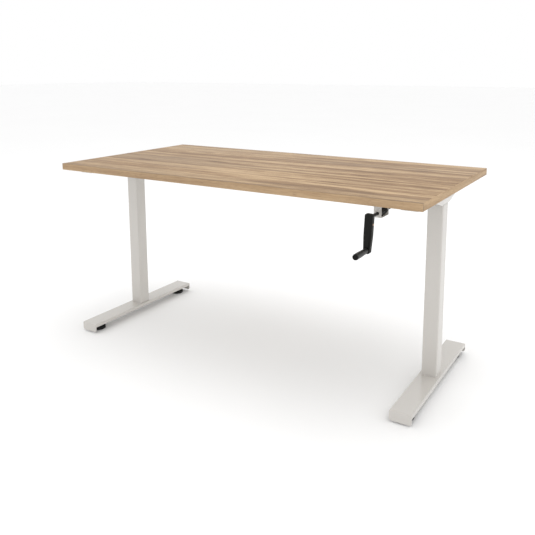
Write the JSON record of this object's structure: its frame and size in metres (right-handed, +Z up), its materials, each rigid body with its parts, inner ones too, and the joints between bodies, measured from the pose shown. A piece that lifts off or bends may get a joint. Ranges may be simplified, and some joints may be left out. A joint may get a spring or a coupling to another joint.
{
  "type": "height adjustable desk",
  "caption": "Height adjustable desk: rectangular wood-look top on telescopic T-shaped legs, raised and lowered by a hand crank under its front edge.",
  "frame": {"origin": "on the floor, at the centre of the desk's overall outline with the crank handle included, at the lowest height", "axes": "+X to the right and +Y to the rear for the person who sits at the desk, who is on the -Y side; +Z up"},
  "size_m": [1.6, 0.925, 0.768],
  "materials": {
    "core_board": "raw particleboard",
    "oak_laminate": "matt oak-look laminate, grain along the width",
    "backing": "matt backing laminate",
    "oak_edge": "matt oak-look edge band",
    "powder_coat": "warm light grey powder coat, satin",
    "slide_nylon": "natural nylon",
    "collar_nylon": "grey nylon",
    "gearbox_plastic": "black moulded plastic",
    "bush_plastic": "black moulded plastic",
    "bearing_steel": "ground steel",
    "zinc_fasteners": "zinc plated",
    "plain_steel": "bright steel, lightly oiled",
    "nut_brass": "machined bronze",
    "gear_steel": "sintered steel",
    "black_metal": "black satin coating",
    "screw_brass": "yellow passivated",
    "pin_steel": "bright steel",
    "grip_plastic": "black moulded plastic, satin sheen",
    "cap_plastic": "black moulded plastic, dull",
    "glide_plastic": "black moulded plastic"
  },
  "bodies": {
    "base": {"left_foot": "powder_coat", "right_foot": "powder_coat", "left_outer_column": "powder_coat", "right_outer_column": "powder_coat", "left_guide_collar": "collar_nylon", "right_guide_collar": "collar_nylon", "left_base_plate": "plain_steel", "right_base_plate": "plain_steel", "left_nut_tube": "plain_steel", "right_nut_tube": "plain_steel", "left_spindle_nut": "nut_brass", "right_spindle_nut": "nut_brass", "foot_bolts": "zinc_fasteners"},
    "upper": {"board_core": "core_board", "top_laminate": "oak_laminate", "backing_laminate": "backing", "front_edge_band": "oak_edge", "rear_edge_band": "oak_edge", "left_edge_band": "oak_edge", "right_edge_band": "oak_edge", "front_rail": "powder_coat", "rear_rail": "powder_coat", "left_support_arm": "powder_coat", "right_support_arm": "powder_coat", "left_inner_column": "powder_coat", "right_inner_column": "powder_coat", "left_slider": "slide_nylon", "right_slider": "slide_nylon", "left_gearbox": "gearbox_plastic", "right_gearbox": "gearbox_plastic", "left_gearbox_lid": "gearbox_plastic", "right_gearbox_lid": "gearbox_plastic", "spindle_bearings": "bearing_steel", "crank_gearbox": "gearbox_plastic", "crank_gearbox_lid": "gearbox_plastic", "crank_bracket": "powder_coat", "crank_bush": "bush_plastic", "worktop_screws": "zinc_fasteners", "frame_bolts": "zinc_fasteners", "gearbox_screws": "zinc_fasteners"},
    "cross_shaft": {"cross_shaft": "plain_steel", "left_shaft_gear": "gear_steel", "right_shaft_gear": "gear_steel", "drive_shaft_gear": "gear_steel"},
    "left_spindle": {"left_spindle": "plain_steel", "left_spindle_gear": "gear_steel"},
    "right_spindle": {"right_spindle": "plain_steel", "right_spindle_gear": "gear_steel"},
    "crank": {"crank_shaft": "black_metal", "crank_gear": "gear_steel", "crank_arm": "black_metal", "crank_screw": "screw_brass", "grip_pin": "pin_steel"},
    "grip": {"grip": "grip_plastic", "grip_cap": "cap_plastic"},
    "front_left_glide": {"front_left_glide": "glide_plastic"},
    "front_right_glide": {"front_right_glide": "glide_plastic"},
    "rear_left_glide": {"rear_left_glide": "glide_plastic"},
    "rear_right_glide": {"rear_right_glide": "glide_plastic"}
  },
  "joints": [
    {"name": "lift", "type": "slide", "parent": "base", "child": "upper", "axis": [0, 0, 1], "range_m": [0, 0.45]},
    {"name": "cross_shaft_turn", "type": "hinge", "parent": "upper", "child": "cross_shaft", "pos_m": [0, 0.0325, 0.712], "axis": [1, 0, 0], "range_deg": [0, 16201]},
    {"name": "left_spindle_turn", "type": "hinge", "parent": "upper", "child": "left_spindle", "pos_m": [-0.733, 0.0325, 0.5], "axis": [0, 0, 1], "range_deg": [0, 16201]},
    {"name": "right_spindle_turn", "type": "hinge", "parent": "upper", "child": "right_spindle", "pos_m": [0.733, 0.0325, 0.5], "axis": [0, 0, 1], "range_deg": [0, 16201]},
    {"name": "crank_turn", "type": "hinge", "parent": "upper", "child": "crank", "pos_m": [0.641, -0.3, 0.712], "axis": [0, 1, 0], "range_deg": [0, 16201]},
    {"name": "grip_spin", "type": "hinge", "parent": "crank", "child": "grip", "pos_m": [0.63545, -0.4185, 0.60615], "axis": [0, 1, 0], "continuous": true},
    {"name": "front_left_glide_turn", "type": "hinge", "parent": "base", "child": "front_left_glide", "pos_m": [-0.733, -0.2395, 0.01], "axis": [0, 0, 1], "range_deg": [0, 1920]},
    {"name": "front_right_glide_turn", "type": "hinge", "parent": "base", "child": "front_right_glide", "pos_m": [0.733, -0.2395, 0.01], "axis": [0, 0, 1], "range_deg": [0, 1920]},
    {"name": "rear_left_glide_turn", "type": "hinge", "parent": "base", "child": "rear_left_glide", "pos_m": [-0.733, 0.3045, 0.01], "axis": [0, 0, 1], "range_deg": [0, 1920]},
    {"name": "rear_right_glide_turn", "type": "hinge", "parent": "base", "child": "rear_right_glide", "pos_m": [0.733, 0.3045, 0.01], "axis": [0, 0, 1], "range_deg": [0, 1920]}
  ],
  "couplings": [
    {"joint": "cross_shaft_turn", "follows": "lift", "rad_per_m": 628.32},
    {"joint": "left_spindle_turn", "follows": "lift", "rad_per_m": 628.32},
    {"joint": "right_spindle_turn", "follows": "lift", "rad_per_m": 628.32},
    {"joint": "crank_turn", "follows": "lift", "rad_per_m": 628.32}
  ]
}
